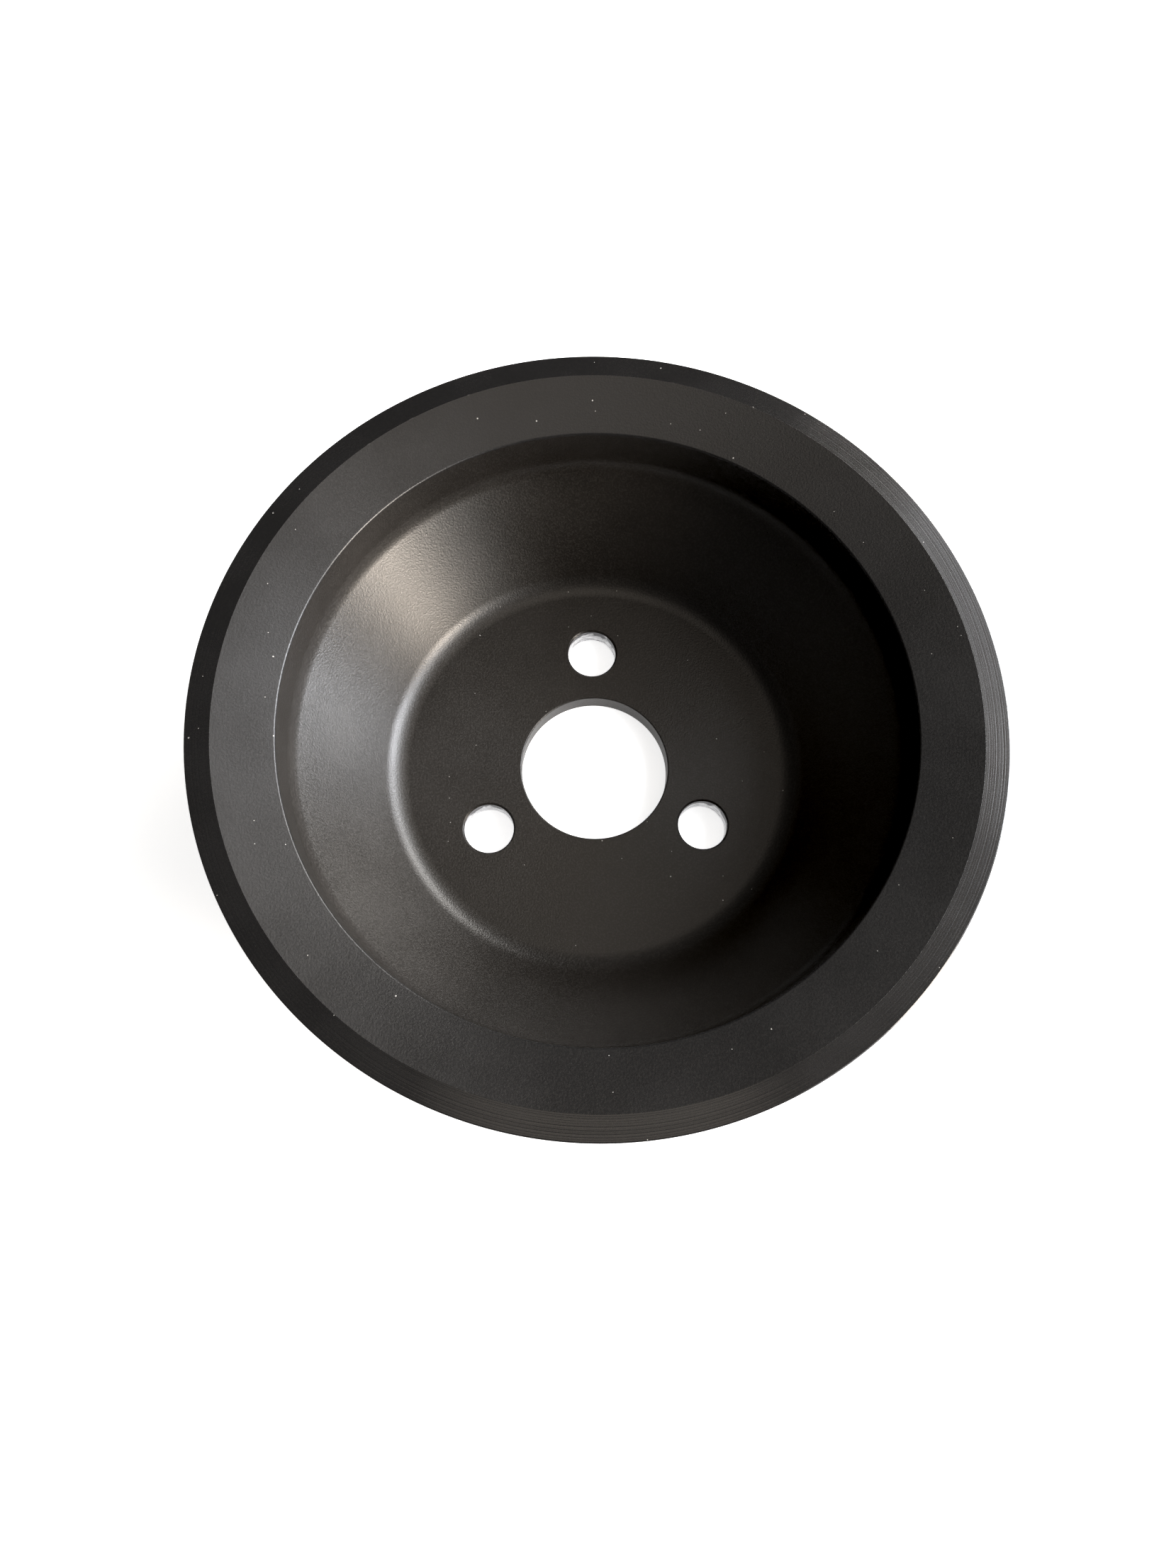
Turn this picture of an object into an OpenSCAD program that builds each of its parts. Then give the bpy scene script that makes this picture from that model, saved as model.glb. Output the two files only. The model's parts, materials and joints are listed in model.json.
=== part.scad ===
// Dished end disc of a line winch: one turned aluminium piece.
// Units are millimetres. +Z runs along the shaft axis, out of the mouth of the dish.
// The origin is the centre of the bore at the flat back face of the hub.

/* [Rim] */
// Outside diameter of the rim
rim_od = 145; // [135:1:170]
// Width of the narrow land between the crest and the outer edge
land_w = 4.5; // [2:0.1:6]
// How far the land falls from the crest to the outer edge
land_drop = 0.3; // [0:0.1:1]
// Width of the sloping ring face, seen along the axis
ring_w = 10.5; // [7:0.1:11]
// Angle at which the ring face slopes down towards the mouth
ring_slope = 19; // [0:1:24]

/* [Dish] */
// Depth from the crest of the rim to the floor of the dish
dish_depth = 35; // [31:0.5:45]
// Diameter at which the conical wall would meet the floor without its fillet
floor_d = 81.3; // [66:0.1:82]
// Steepness of the conical wall, measured from the floor
cone_angle = 51; // [42:0.5:52]
// Radius of the fillets at the floor and at the shoulder
fillet_r = 6; // [3:0.5:8]

/* [Wall] */
// Thickness of the floor web at the hub
web_t = 5; // [4:0.1:7]
// Thickness of the dish wall and of the rim, square to their faces
wall_t = 5; // [4:0.1:6]
// Radius of the corner between the barrel and the underside of the rim
under_r = 3; // [1:0.5:4]
// Size of the bevel that breaks every sharp edge
edge_break = 0.35; // [0.2:0.05:0.6]
// Size of the wider bevel around the mouth of the dish
mouth_break = 0.55; // [0.3:0.05:0.8]

/* [Hub] */
// Diameter of the central bore
bore_d = 30; // [20:0.5:34]
// Diameter of the bolt circle
bolt_circle_d = 50; // [47:0.5:56]
// Diameter of each bolt hole
bolt_hole_d = 10; // [6.5:0.5:12]
// Number of bolt holes, with one of them on +Y
bolt_count = 3; // [3:1:6]

/* [Hidden] */
$fn = 180;
arc_steps = 16;
cut_over = 1;

rim_r = rim_od / 2;
crest_r = rim_r - land_w;
mouth_r = crest_r - ring_w;
floor_r = floor_d / 2;
bore_r = bore_d / 2;
bolt_hole_r = bolt_hole_d / 2;

crest_z = web_t + dish_depth;
edge_z = crest_z - land_drop;
mouth_z = crest_z - ring_w * tan(ring_slope);
shoulder_z = web_t + (mouth_r - floor_r) * tan(cone_angle);

// The outside follows the inside at the wall thickness.
barrel_r = mouth_r + wall_t;
outer_round_r = fillet_r + wall_t;
rim_drop = wall_t / cos(ring_slope);
lip_z = crest_z + land_w * tan(ring_slope) - rim_drop;
under_z = crest_z - (crest_r - barrel_r) * tan(ring_slope) - rim_drop;
cone_shift = wall_t / sin(cone_angle);
cone_foot_r = floor_r - web_t / tan(cone_angle) + cone_shift;
back_shoulder_z = (barrel_r - cone_foot_r) * tan(cone_angle);

function unit(v) = v / norm(v);

// Points of the arc that rounds the corner between two straight sides.
function rounded(before, corner, after, radius) =
    let (
        u = unit(before - corner),
        w = unit(after - corner),
        half = acos(u * w) / 2,
        centre = corner + unit(u + w) * radius / sin(half),
        start = corner + u * radius / tan(half),
        turn = sign(cross(u, w)) * (2 * half - 180),
        from = atan2(start.y - centre.y, start.x - centre.x)
    )
    [for (i = [0:arc_steps]) centre + radius * [
        cos(from + turn * i / arc_steps),
        sin(from + turn * i / arc_steps)
    ]];

// The two points of a small bevel across the same kind of corner.
function bevelled(before, corner, after, size) = [
    corner + unit(before - corner) * size,
    corner + unit(after - corner) * size
];

// Corners of the section, from the bore out to the rim and back underneath.
bore_top = [bore_r, web_t];
floor_edge = [floor_r, web_t];
shoulder = [mouth_r, shoulder_z];
mouth = [mouth_r, mouth_z];
crest = [crest_r, crest_z];
rim_edge = [rim_r, edge_z];
lip = [rim_r, lip_z];
under = [barrel_r, under_z];
back_shoulder = [barrel_r, back_shoulder_z];
hub_edge = [cone_foot_r, 0];
bore_back = [bore_r, 0];

// Half section of the disc, to the right of the shaft axis.
module section() {
    polygon(concat(
        bevelled(bore_back, bore_top, floor_edge, edge_break),
        rounded(bore_top, floor_edge, shoulder, fillet_r),
        rounded(floor_edge, shoulder, mouth, fillet_r),
        bevelled(shoulder, mouth, crest, mouth_break),
        [crest],
        bevelled(crest, rim_edge, lip, edge_break),
        bevelled(rim_edge, lip, under, edge_break),
        rounded(lip, under, back_shoulder, under_r),
        rounded(under, back_shoulder, hub_edge, outer_round_r),
        rounded(back_shoulder, hub_edge, bore_back, outer_round_r),
        bevelled(hub_edge, bore_back, bore_top, edge_break)
    ));
}

// One through hole with a bevelled edge on both faces of the web.
module bolt_hole() {
    flare_r = bolt_hole_r + edge_break + cut_over;
    translate([0, 0, -cut_over])
        cylinder(r = bolt_hole_r, h = web_t + 2 * cut_over);
    translate([0, 0, web_t - edge_break])
        cylinder(r1 = bolt_hole_r, r2 = flare_r, h = edge_break + cut_over);
    translate([0, 0, -cut_over])
        cylinder(r1 = flare_r, r2 = bolt_hole_r, h = edge_break + cut_over);
}

module dished_end_disc() {
    color("#2a2a2c")
        difference() {
            rotate_extrude() section();
            for (i = [0:bolt_count - 1])
                rotate(90 + i * 360 / bolt_count)
                    translate([bolt_circle_d / 2, 0, 0])
                        bolt_hole();
        }
}

dished_end_disc();
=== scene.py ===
"""Looks of the dished end disc: a black anodised, turned aluminium disc on a pale studio floor.

Everything is in metres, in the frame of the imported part: +Z out of the dish, z = 0 on the floor.
"""
import json
import math

import bpy
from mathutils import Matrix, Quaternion, Vector
from mathutils.geometry import delaunay_2d_cdt


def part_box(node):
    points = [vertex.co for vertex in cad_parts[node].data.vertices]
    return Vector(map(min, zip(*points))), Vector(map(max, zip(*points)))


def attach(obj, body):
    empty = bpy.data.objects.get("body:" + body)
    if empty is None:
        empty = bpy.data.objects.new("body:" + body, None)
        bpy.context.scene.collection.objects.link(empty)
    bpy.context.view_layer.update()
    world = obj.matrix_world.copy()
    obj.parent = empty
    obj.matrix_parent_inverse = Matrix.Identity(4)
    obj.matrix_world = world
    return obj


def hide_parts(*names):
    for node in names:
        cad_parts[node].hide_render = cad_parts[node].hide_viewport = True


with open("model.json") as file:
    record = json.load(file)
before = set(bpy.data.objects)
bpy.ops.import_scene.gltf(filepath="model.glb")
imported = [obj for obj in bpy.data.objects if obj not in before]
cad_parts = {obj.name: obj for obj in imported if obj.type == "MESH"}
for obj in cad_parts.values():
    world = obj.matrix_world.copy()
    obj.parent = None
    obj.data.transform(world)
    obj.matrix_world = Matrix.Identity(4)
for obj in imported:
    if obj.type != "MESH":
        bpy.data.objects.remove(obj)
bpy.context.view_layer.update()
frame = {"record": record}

MM = 0.001
NODE = "dished_end_disc"

# ---------------------------------------------------------------- sizes
low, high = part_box(NODE)
mounts = {mount["name"]: mount for mount in frame["record"]["mounts"]}

RIM_R = min(high.x, high.y, -low.x, -low.y)
CREST_Z = high.z
BORE_R = mounts["shaft_bore"]["dims"]["r_mm"] * MM
BOLT_CIRCLE_R = mounts["hub_bolts"]["dims"]["pcd_mm"] * MM / 2
BOLT_HOLE_R = mounts["hub_bolts"]["dims"]["hole_r_mm"] * MM
BOLT_COUNT = mounts["hub_bolts"]["dims"]["count"]
FLOOR_Z = mounts["floor_seat"]["pos_m"][2]

# The same driving dimensions as the part's own source.
LAND_W = 4.5 * MM
LAND_DROP = 0.3 * MM
RING_W = 10.5 * MM
RING_SLOPE = math.tan(math.radians(19))
FLOOR_R = 81.3 / 2 * MM
CONE_ANGLE = math.radians(51)
FILLET_R = 6 * MM
WALL_T = 5 * MM
UNDER_R = 3 * MM
EDGE_BREAK = 0.35 * MM
MOUTH_ROUND = 0.45 * MM
EDGE_ROUND = 0.3 * MM

CREST_R = RIM_R - LAND_W
MOUTH_R = CREST_R - RING_W
MOUTH_Z = CREST_Z - RING_W * RING_SLOPE
BARREL_R = MOUTH_R + WALL_T
RIM_DROP = WALL_T * math.hypot(1, RING_SLOPE)

# Fineness of the mesh.
ROUND_STEPS = 360
HOLE_STEPS = 96
ARC_STEPS = 20
EDGE_STEPS = 5
WEB_GRID = 2 * MM

# Turned lines cut into the land: how far across it they lie, how wide and how deep they are.
LINE_PLACES = (0.16, 0.27, 0.36, 0.47, 0.55, 0.63, 0.86)
LINE_W = 0.16 * MM
LINE_DEPTH = 0.004 * MM
STEP_PLACE = 0.75
STEP_W = 0.30 * MM
STEP_DEPTH = 0.008 * MM

# Finish of the anodised surface: sizes of its patterns and how far they stand up.
GRAIN_SIZE = 0.38 * MM
GRAIN_DEPTH = 0.034 * MM
RING_PITCH = 0.6 * MM
RING_DEPTH = 0.018 * MM
FINE_RING_PITCH = 0.25 * MM
FINE_RING_DEPTH = 0.0025 * MM
CLOUD_SIZE = 14 * MM
GLOSS_STRETCH = 0.6
ANODISED_IOR = 1.75

# Camera, in place and turned to the picture's viewing angle. The lens is in millimetres.
CAMERA_PLACE = (-7.5 * MM, -65.1 * MM, 228.5 * MM)
CAMERA_TARGET = (-2.4 * MM, -13.2 * MM, CREST_Z)
CAMERA_ROLL = math.radians(4.5)
LENS = 26.04
SENSOR_W = 36

# Lights: all panes are equally far away and equally tall.
LIGHT_DISTANCE = 1.2
PANE_H = 0.45
WARM = (1.0, 0.90, 0.79)
NEUTRAL = (1.0, 0.98, 0.95)
COOL = (0.94, 0.96, 1.0)
# Each pane: bearing from +X and height above the horizon in degrees, width, brightness, colour.
PANES = {
    "low_pane_-46": (-46, 25, 0.30, 4, NEUTRAL),
    "low_pane_-27": (-27, 25, 0.28, 33, WARM),
    "low_pane_4": (4, 25, 0.18, 28, COOL),
    "low_pane_20": (20, 25, 0.42, 15, COOL),
    "low_pane_48": (48, 25, 0.55, 12, NEUTRAL),
    "high_pane_-28": (-28, 41, 0.60, 3.5, COOL),
    "high_pane_2": (2, 41, 0.60, 6.0, COOL),
    "high_pane_32": (32, 41, 0.60, 3.0, COOL),
    "ceiling_right": (44, 62, 0.60, 0.7, WARM),
    "ceiling": (0, 88, 0.60, 1.2, WARM),
}
ROOM_BRIGHTNESS = 0.14
FLOOR_GLOW = 0.75
FLOOR_HALF_SIDE = 3.0
FLOOR_GAP = 0.2 * MM
TONE_GAMMA = 0.8
BLACK_LEVEL = 0.012


# ---------------------------------------------------------------- section of the disc
def flat(points):
    """Spans of straight section through points; each span is (start, end, normal, normal)."""
    spans = []
    for a, b in zip(points, points[1:]):
        normal = Vector((a.y - b.y, b.x - a.x)).normalized()
        spans.append((a, b, normal, normal))
    return spans


def corner(before, at, after, radius):
    """Start, end and centre of the arc of that radius in the corner at, and which way it bends."""
    back = (before - at).normalized()
    ahead = (after - at).normalized()
    half = back.angle(ahead) / 2
    centre = at + (back + ahead).normalized() * radius / math.sin(half)
    reach = radius / math.tan(half)
    return at + back * reach, at + ahead * reach, centre


def arc(start, end, centre, steps=ARC_STEPS):
    """Spans of the short arc from start to end, with the true normals of a round corner."""
    first = start - centre
    turn = first.angle_signed(end - centre)
    spokes = []
    for i in range(steps + 1):
        angle = -turn * i / steps
        x = first.x * math.cos(angle) - first.y * math.sin(angle)
        y = first.x * math.sin(angle) + first.y * math.cos(angle)
        spokes.append(Vector((x, y)))
    # The first and last points are the given ones exactly, so that the next span joins on.
    points = [start] + [centre + spoke for spoke in spokes[1:-1]] + [end]
    spans = []
    for i in range(steps):
        a, b = spokes[i], spokes[i + 1]
        chord = b - a
        outward = Vector((-chord.y, chord.x))
        way = 1 if outward.dot(a + b) > 0 else -1
        spans.append((points[i], points[i + 1], a.normalized() * way, b.normalized() * way))
    return spans


def land_points(crest, edge):
    """The land from crest to edge, with its turned lines cut in."""
    along = edge - crest
    down = Vector((along.y, -along.x)).normalized()
    cuts = [(place, LINE_W, LINE_DEPTH) for place in LINE_PLACES] + [(STEP_PLACE, STEP_W, STEP_DEPTH)]
    points = [crest]
    for place, width, depth in sorted(cuts):
        middle = crest + along * place
        side = along.normalized() * width / 2
        points += [middle - side, middle + down * depth, middle + side]
    points.append(edge)
    return points


def section():
    """All spans of the half section, round from the bore's front edge and back underneath."""
    bore_top = Vector((BORE_R, FLOOR_Z))
    floor_edge = Vector((FLOOR_R, FLOOR_Z))
    shoulder = Vector((MOUTH_R, FLOOR_Z + (MOUTH_R - FLOOR_R) * math.tan(CONE_ANGLE)))
    mouth = Vector((MOUTH_R, MOUTH_Z))
    crest = Vector((CREST_R, CREST_Z))
    rim_edge = Vector((RIM_R, CREST_Z - LAND_DROP))
    lip = Vector((RIM_R, CREST_Z + LAND_W * RING_SLOPE - RIM_DROP))
    under = Vector((BARREL_R, CREST_Z - (CREST_R - BARREL_R) * RING_SLOPE - RIM_DROP))
    foot_r = FLOOR_R - FLOOR_Z / math.tan(CONE_ANGLE) + WALL_T / math.sin(CONE_ANGLE)
    back_shoulder = Vector((BARREL_R, (BARREL_R - foot_r) * math.tan(CONE_ANGLE)))
    hub_edge = Vector((foot_r, 0))
    bore_back = Vector((BORE_R, 0))

    floor_arc = corner(bore_top, floor_edge, shoulder, FILLET_R)
    shoulder_arc = corner(floor_edge, shoulder, mouth, FILLET_R)
    under_arc = corner(lip, under, back_shoulder, UNDER_R)
    back_arc = corner(under, back_shoulder, hub_edge, FILLET_R + WALL_T)
    hub_arc = corner(back_shoulder, hub_edge, bore_back, FILLET_R + WALL_T)
    mouth_arc = corner(shoulder, mouth, crest, MOUTH_ROUND)
    rim_arc = corner(crest, rim_edge, lip, EDGE_ROUND)
    lip_arc = corner(rim_edge, lip, under, EDGE_ROUND)

    spans = arc(*floor_arc)
    spans += flat([floor_arc[1], shoulder_arc[0]])
    spans += arc(*shoulder_arc)
    spans += flat([shoulder_arc[1], mouth_arc[0]])
    spans += arc(*mouth_arc, EDGE_STEPS)
    spans += flat([mouth_arc[1]] + land_points(crest, rim_arc[0]))
    spans += arc(*rim_arc, EDGE_STEPS)
    spans += flat([rim_arc[1], lip_arc[0]])
    spans += arc(*lip_arc, EDGE_STEPS)
    spans += flat([lip_arc[1], under_arc[0]])
    spans += arc(*under_arc)
    spans += flat([under_arc[1], back_arc[0]])
    spans += arc(*back_arc)
    spans += flat([back_arc[1], hub_arc[0]])
    spans += arc(*hub_arc)

    back_edge = corner(hub_edge, bore_back, bore_top, EDGE_ROUND)
    front_edge = corner(bore_back, bore_top, floor_edge, EDGE_ROUND)
    bore = arc(*back_edge, EDGE_STEPS)
    bore += flat([back_edge[1], front_edge[0]])
    bore += arc(*front_edge, EDGE_STEPS)
    return spans, bore


# ---------------------------------------------------------------- mesh of the disc
class Skin:
    """Collects shared vertices, faces, a normal for every face corner and each face's material."""

    def __init__(self):
        self.points = []
        self.place = {}
        self.faces = []
        self.normals = []
        self.materials = []

    def vertex(self, x, y, z):
        key = (round(x * 1e8), round(y * 1e8), round(z * 1e8))
        if key not in self.place:
            self.place[key] = len(self.points)
            self.points.append((x, y, z))
        return self.place[key]

    def face(self, corners, normals, material=0):
        self.faces.append([self.vertex(*point) for point in corners])
        self.normals += normals
        self.materials.append(material)

    def turned(self, spans, centre=(0, 0), steps=ROUND_STEPS, material=0):
        """Turns the spans about an upright axis through centre."""
        ring = [(math.cos(t), math.sin(t)) for t in (2 * math.pi * i / steps for i in range(steps))]
        ring.append(ring[0])

        def at(point, spoke):
            return (centre[0] + point.x * spoke[0], centre[1] + point.x * spoke[1], point.y)

        def facing(normal, spoke):
            return (normal.x * spoke[0], normal.x * spoke[1], normal.y)

        for start, end, start_normal, end_normal in spans:
            for one, two in zip(ring, ring[1:]):
                self.face(
                    [at(start, one), at(end, one), at(end, two), at(start, two)],
                    [facing(start_normal, one), facing(end_normal, one),
                     facing(end_normal, two), facing(start_normal, two)],
                    material,
                )

    def web(self, z, inner_r, outer_r, hole_r, up):
        """The flat web face at height z, between two circles and round the bolt holes."""
        points = []
        edges = []
        for centre, radius, steps in [((0, 0), inner_r, ROUND_STEPS), ((0, 0), outer_r, ROUND_STEPS)] + [
            (hole, hole_r, HOLE_STEPS) for hole in bolt_places()
        ]:
            first = len(points)
            for i in range(steps):
                t = 2 * math.pi * i / steps
                points.append((centre[0] + radius * math.cos(t), centre[1] + radius * math.sin(t)))
                edges.append((first + i, first + (i + 1) % steps))
        holes = [Vector(hole) for hole in bolt_places()]
        rings = int((outer_r - inner_r) / WEB_GRID)
        for k in range(1, rings):
            radius = inner_r + (outer_r - inner_r) * k / rings
            for i in range(ROUND_STEPS // 3):
                t = 6 * math.pi * (i + 0.5 * (k % 2)) / ROUND_STEPS
                point = Vector((radius * math.cos(t), radius * math.sin(t)))
                if all((point - hole).length > hole_r + WEB_GRID / 2 for hole in holes):
                    points.append((point.x, point.y))
        found = delaunay_2d_cdt([Vector(point) for point in points], edges, [], 0, 1e-9)
        triangles, sources = found[2], found[3]
        for triangle in triangles:
            # The triangulation rounds its points, so the corners are taken from the exact list.
            corners = [points[sources[i][0]] for i in triangle]
            middle = Vector((sum(x for x, y in corners) / 3, sum(y for x, y in corners) / 3))
            if not inner_r < middle.length < outer_r:
                continue
            if any((middle - hole).length < hole_r for hole in holes):
                continue
            if not up:
                corners.reverse()
            self.face([(x, y, z) for x, y in corners], [(0, 0, 1 if up else -1)] * 3)

    def mesh(self, name):
        mesh = bpy.data.meshes.new(name)
        mesh.from_pydata(self.points, [], self.faces)
        mesh.polygons.foreach_set("use_smooth", [True] * len(self.faces))
        mesh.polygons.foreach_set("material_index", self.materials)
        mesh.update()
        mesh.normals_split_custom_set(self.normals)
        return mesh


def bolt_places():
    """Centres of the bolt holes, the first one on +Y."""
    turns = [math.pi / 2 + 2 * math.pi * i / BOLT_COUNT for i in range(BOLT_COUNT)]
    return [(BOLT_CIRCLE_R * math.cos(t), BOLT_CIRCLE_R * math.sin(t)) for t in turns]


def bolt_hole_section():
    """Spans of one bolt hole from its back edge to its front edge, seen from the hole's own axis."""
    wide = BOLT_HOLE_R + EDGE_BREAK
    points = [
        Vector((wide, 0)),
        Vector((BOLT_HOLE_R, EDGE_BREAK)),
        Vector((BOLT_HOLE_R, FLOOR_Z - EDGE_BREAK)),
        Vector((wide, FLOOR_Z)),
    ]
    return flat(points)


def make_disc(materials):
    spans, bore = section()
    skin = Skin()
    skin.turned(spans)
    skin.turned(bore)
    for centre in bolt_places():
        lower, wall, upper = bolt_hole_section()
        skin.turned([lower, upper], centre, HOLE_STEPS)
        skin.turned([wall], centre, HOLE_STEPS, material=1)
    wide = bolt_hole_section()[0][0].x
    skin.web(FLOOR_Z, bore[-1][1].x, spans[0][0].x, wide, up=True)
    skin.web(0, bore[0][0].x, spans[-1][1].x, wide, up=False)
    disc = bpy.data.objects.new("turned_disc", skin.mesh("turned_disc"))
    for material in materials:
        disc.data.materials.append(material)
    bpy.context.scene.collection.objects.link(disc)
    return disc


# ---------------------------------------------------------------- materials
class Nodes:
    """A short way to write node graphs: every call adds one node and returns its result."""

    def __init__(self, name):
        self.material = bpy.data.materials.new(name)
        self.material.use_nodes = True
        self.tree = self.material.node_tree
        self.shader = self.tree.nodes["Principled BSDF"]

    def add(self, kind, inputs=(), output=0, **settings):
        node = self.tree.nodes.new(kind)
        for key, value in settings.items():
            setattr(node, key, value)
        for key, value in dict(inputs).items():
            self.put(node.inputs[key], value)
        return node.outputs[output]

    def put(self, socket, value):
        if isinstance(value, bpy.types.NodeSocket):
            self.tree.links.new(value, socket)
        else:
            socket.default_value = value

    def math(self, operation, *values, clamp=False):
        return self.add("ShaderNodeMath", dict(enumerate(values)), operation=operation, use_clamp=clamp)

    def vector(self, operation, *values, output=0):
        return self.add("ShaderNodeVectorMath", dict(enumerate(values)), output, operation=operation)

    def ramp(self, value, low_in, high_in, low_out=0.0, high_out=1.0):
        inputs = {"Value": value, "From Min": low_in, "From Max": high_in}
        inputs.update({"To Min": low_out, "To Max": high_out})
        return self.add("ShaderNodeMapRange", inputs, interpolation_type="SMOOTHSTEP")

    def noise(self, where, size, detail=2.0, roughness=0.5):
        inputs = {"Vector": where, "Scale": 1 / size, "Detail": detail, "Roughness": roughness}
        return self.add("ShaderNodeTexNoise", inputs)

    def rings(self, radius, pitch, detail=3.0):
        """Lines at one radius each, as a turning tool leaves them."""
        inputs = {"W": radius, "Scale": 1 / pitch, "Detail": detail, "Roughness": 0.6}
        return self.add("ShaderNodeTexNoise", inputs, noise_dimensions="1D")

    def mix(self, share, a, b):
        inputs = {"Factor": share, 6: a, 7: b}
        return self.add("ShaderNodeMix", inputs, output=2, data_type="RGBA")

    def bump(self, height, distance, normal=None, strength=1.0):
        inputs = {"Strength": strength, "Distance": distance, "Height": height}
        if normal is not None:
            inputs["Normal"] = normal
        return self.add("ShaderNodeBump", inputs)

    def finish(self, **inputs):
        for key, value in inputs.items():
            self.put(self.shader.inputs[key.replace("_", " ")], value)
        return self.material


def specks(nodes, where, cell, size, share):
    """A mask of tiny dust specks, seen from above: one in each cell, kept in only a share of the cells."""
    inputs = {"Vector": where, "Scale": 1 / cell, "Randomness": 1.0}
    dots = nodes.tree.nodes.new("ShaderNodeTexVoronoi")
    dots.voronoi_dimensions = "2D"
    for key, value in inputs.items():
        nodes.put(dots.inputs[key], value)
    near = nodes.math("LESS_THAN", dots.outputs["Distance"], size / cell)
    pick = nodes.add("ShaderNodeSeparateColor", {"Color": dots.outputs["Color"]})
    kept = nodes.math("LESS_THAN", pick, share)
    return nodes.math("MULTIPLY", near, kept)


def black_anodised():
    """Satin black anodising over turned and bead-blasted aluminium."""
    nodes = Nodes("black_anodised")
    where = nodes.add("ShaderNodeTexCoord", output=3)
    split = nodes.tree.nodes.new("ShaderNodeSeparateXYZ")
    nodes.put(split.inputs[0], where)
    height = split.outputs["Z"]
    radius = nodes.vector("LENGTH", nodes.vector("MULTIPLY", where, (1.0, 1.0, 0.0)), output=1)

    on_front = nodes.ramp(height, MOUTH_Z - 0.6 * MM, MOUTH_Z - 0.3 * MM)
    on_land = nodes.math("MULTIPLY", on_front, nodes.ramp(radius, CREST_R - 0.05 * MM, CREST_R + 0.05 * MM))

    grain = nodes.noise(where, GRAIN_SIZE, detail=3.0, roughness=0.6)
    cloud = nodes.noise(where, CLOUD_SIZE, detail=2.0)
    coarse_rings = nodes.rings(radius, RING_PITCH, detail=1.0)
    fine_rings = nodes.rings(radius, FINE_RING_PITCH, detail=1.0)

    # Turned lines are strongest on the land and faint inside the dish.
    front_rings = nodes.math("MULTIPLY_ADD", on_front, 0.15, 0.1)
    ring_share = nodes.math("MULTIPLY_ADD", on_land, 0.75, front_rings)
    lines = nodes.bump(nodes.math("MULTIPLY", coarse_rings, ring_share), RING_DEPTH)
    fine = nodes.bump(fine_rings, FINE_RING_DEPTH, lines)
    # The blasted grain fills the dish, is weaker on the ring and is turned away on the land.
    front_grain = nodes.math("MULTIPLY_ADD", on_front, -0.35, 1.31)
    grain_share = nodes.math("MULTIPLY_ADD", on_land, -0.96, front_grain)
    blasted = nodes.bump(nodes.math("MULTIPLY", grain, grain_share), GRAIN_DEPTH, fine)

    # Inside the dish the base colour is painted warmer and a little lighter than on the front. This is
    # painted warm light, standing in for light reflected between the dish walls. The cloud varies both tones
    # at random.
    inside = nodes.mix(nodes.ramp(cloud, 0.3, 0.7), (0.0275, 0.0247, 0.0219, 1), (0.0325, 0.0293, 0.0262, 1))
    front = nodes.mix(nodes.ramp(cloud, 0.3, 0.7), (0.0232, 0.0224, 0.0222, 1), (0.0275, 0.0266, 0.0264, 1))
    tone_with_painted_warm_light = nodes.mix(on_front, inside, front)
    pale_share = nodes.math("MULTIPLY_ADD", on_front, -0.21, 0.30)
    pale_grain = nodes.math("MULTIPLY", nodes.ramp(grain, 0.45, 0.65), pale_share)
    grainy = nodes.mix(pale_grain, tone_with_painted_warm_light, (0.080, 0.074, 0.067, 1))
    facing = nodes.tree.nodes.new("ShaderNodeSeparateXYZ")
    nodes.put(facing.inputs[0], nodes.add("ShaderNodeNewGeometry", output=1))
    upward = nodes.ramp(facing.outputs["Z"], 0.75, 0.85)
    dust = nodes.math("MAXIMUM", specks(nodes, where, 5 * MM, 0.09 * MM, 0.16),
                      specks(nodes, where, 12 * MM, 0.14 * MM, 0.28))
    dust = nodes.math("MULTIPLY", dust, upward)
    dusty = nodes.mix(dust, grainy, (0.42, 0.41, 0.39, 1))

    crest_line = nodes.math("ABSOLUTE", nodes.math("SUBTRACT", radius, CREST_R))
    near_crest = nodes.math("MULTIPLY", nodes.ramp(crest_line, 0.14 * MM, 0.02 * MM), on_front)
    rubbed = nodes.ramp(nodes.noise(where, 2.5 * MM, detail=4.0), 0.62, 0.75)
    worn = nodes.math("MULTIPLY", near_crest, rubbed)
    colour = nodes.mix(nodes.math("MULTIPLY", worn, 0.5), dusty, (0.16, 0.155, 0.15, 1))

    base_roughness = nodes.math("MULTIPLY_ADD", on_land, -0.14, nodes.ramp(cloud, 0.3, 0.7, 0.33, 0.36))
    gloss_grain = nodes.math("MULTIPLY", nodes.math("SUBTRACT", grain, 0.5), grain_share)
    roughness = nodes.math("MULTIPLY_ADD", gloss_grain, 0.20, base_roughness)
    # A quarter turn of the tangent stretches the gloss across the turned lines.
    around = nodes.add("ShaderNodeTangent", direction_type="RADIAL", axis="Z")
    return nodes.finish(Base_Color=colour, Roughness=roughness, Normal=blasted,
                        Metallic=0.0, IOR=ANODISED_IOR, Anisotropic=GLOSS_STRETCH,
                        Anisotropic_Rotation=0.25, Tangent=around)


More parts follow.
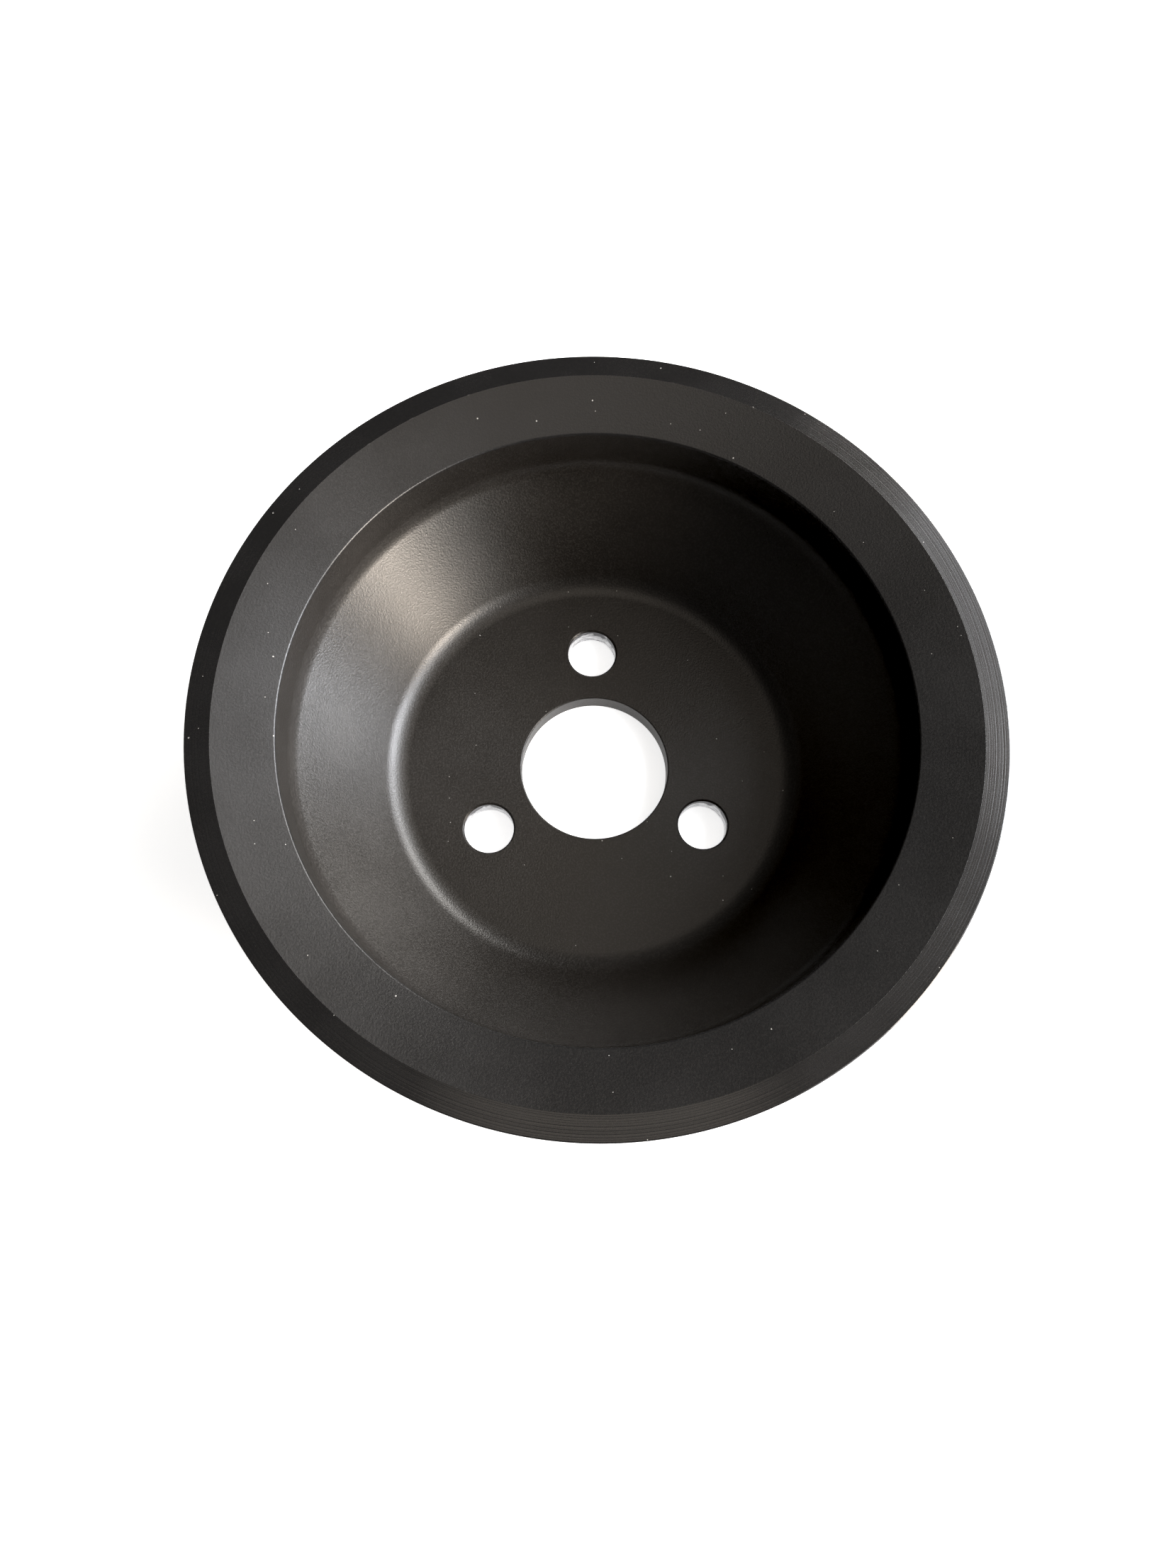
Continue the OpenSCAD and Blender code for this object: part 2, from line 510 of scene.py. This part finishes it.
def bare_bore():
    """Bright drilled aluminium in the bolt holes, streaked round the wall and with dark patches near the
    front.
    """
    nodes = Nodes("bare_bore")
    where = nodes.add("ShaderNodeTexCoord", output=3)
    split = nodes.tree.nodes.new("ShaderNodeSeparateXYZ")
    nodes.put(split.inputs[0], where)
    streak_space = nodes.vector("MULTIPLY", where, (0.12, 0.12, 1.0))
    streaks = nodes.noise(streak_space, 0.22 * MM, detail=4.0, roughness=0.7)
    patches = nodes.noise(where, 2.2 * MM, detail=2.0)
    bright = nodes.mix(nodes.ramp(streaks, 0.38, 0.60), (0.30, 0.30, 0.31, 1), (0.84, 0.84, 0.85, 1))
    # Dark patches on the wall, more of them toward its front end.
    near_front = nodes.ramp(split.outputs["Z"], FLOOR_Z - 3.2 * MM, FLOOR_Z - 0.6 * MM, 0.0, 0.34)
    dark_patches = nodes.ramp(nodes.math("ADD", patches, near_front), 0.62, 0.80, 0.0, 0.85)
    colour = nodes.mix(dark_patches, bright, (0.06, 0.06, 0.065, 1))
    roughness = nodes.ramp(streaks, 0.3, 0.7, 0.25, 0.45)
    normal = nodes.bump(streaks, 0.01 * MM)
    return nodes.finish(Base_Color=colour, Roughness=roughness, Normal=normal, Metallic=1.0)


def studio_floor():
    """Matte white card that glows a little, so that it is as white as the picture's background."""
    nodes = Nodes("white_card")
    where = nodes.add("ShaderNodeTexCoord", output=3)
    fibre = nodes.noise(where, 0.8 * MM, detail=3.0)
    colour = nodes.mix(nodes.ramp(fibre, 0.3, 0.7), (0.88, 0.88, 0.88, 1), (0.90, 0.90, 0.90, 1))
    return nodes.finish(Base_Color=colour, Roughness=0.9,
                        Emission_Color=(1, 1, 1, 1), Emission_Strength=FLOOR_GLOW)


# ---------------------------------------------------------------- studio
def make_floor():
    side = FLOOR_HALF_SIDE
    corners = [(-side, -side, 0), (side, -side, 0), (side, side, 0), (-side, side, 0)]
    mesh = bpy.data.meshes.new("floor")
    mesh.from_pydata(corners, [], [(0, 1, 2, 3)])
    floor = bpy.data.objects.new("floor", mesh)
    floor.location.z = -FLOOR_GAP
    mesh.materials.append(studio_floor())
    bpy.context.scene.collection.objects.link(floor)


def aim(thing, place, target):
    thing.location = place
    thing.rotation_mode = "QUATERNION"
    thing.rotation_quaternion = (Vector(target) - Vector(place)).to_track_quat("-Z", "Y")


def soft_light(name, bearing, height, width, brightness, colour):
    """One pane of soft light, aimed at the middle of the disc."""
    turn, lift = math.radians(bearing), math.radians(height)
    way = Vector((math.cos(turn) * math.cos(lift), math.sin(turn) * math.cos(lift), math.sin(lift)))
    light = bpy.data.lights.new(name, "AREA")
    light.shape = "RECTANGLE"
    light.size = width
    light.size_y = PANE_H
    light.energy = brightness * math.pi * width * PANE_H
    light.color = colour
    lamp = bpy.data.objects.new(name, light)
    bpy.context.scene.collection.objects.link(lamp)
    centre = Vector((0, 0, CREST_Z / 2))
    aim(lamp, centre + way * LIGHT_DISTANCE, centre)


def make_lights():
    """A low row of windows on the right, weaker panes above it, a warm ceiling and a dim room."""
    for name, pane in PANES.items():
        soft_light(name, *pane)
    world = bpy.data.worlds.new("studio")
    world.use_nodes = True
    back = world.node_tree.nodes["Background"]
    back.inputs["Color"].default_value = (0.98, 0.99, 1, 1)
    back.inputs["Strength"].default_value = ROOM_BRIGHTNESS
    bpy.context.scene.world = world


def set_exposure():
    """Deep blacks and clean whites, as a phone picture has them."""
    view = bpy.context.scene.view_settings
    view.view_transform = "Standard"
    view.gamma = TONE_GAMMA
    view.use_curve_mapping = True
    view.curve_mapping.black_level = (BLACK_LEVEL, BLACK_LEVEL, BLACK_LEVEL)
    view.curve_mapping.update()


def make_camera():
    """A phone camera held close above the disc, a little in front of it."""
    lens = bpy.data.cameras.new("camera")
    lens.sensor_width = SENSOR_W
    lens.lens = LENS
    lens.clip_start = 0.01
    camera = bpy.data.objects.new("camera", lens)
    bpy.context.scene.collection.objects.link(camera)
    aim(camera, CAMERA_PLACE, CAMERA_TARGET)
    roll = Quaternion((0, 0, 1), CAMERA_ROLL)
    camera.rotation_quaternion = camera.rotation_quaternion @ roll
    bpy.context.scene.camera = camera


disc = make_disc([black_anodised(), bare_bore()])
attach(disc, "root")
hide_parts(NODE)

make_floor()
make_lights()
make_camera()
set_exposure()
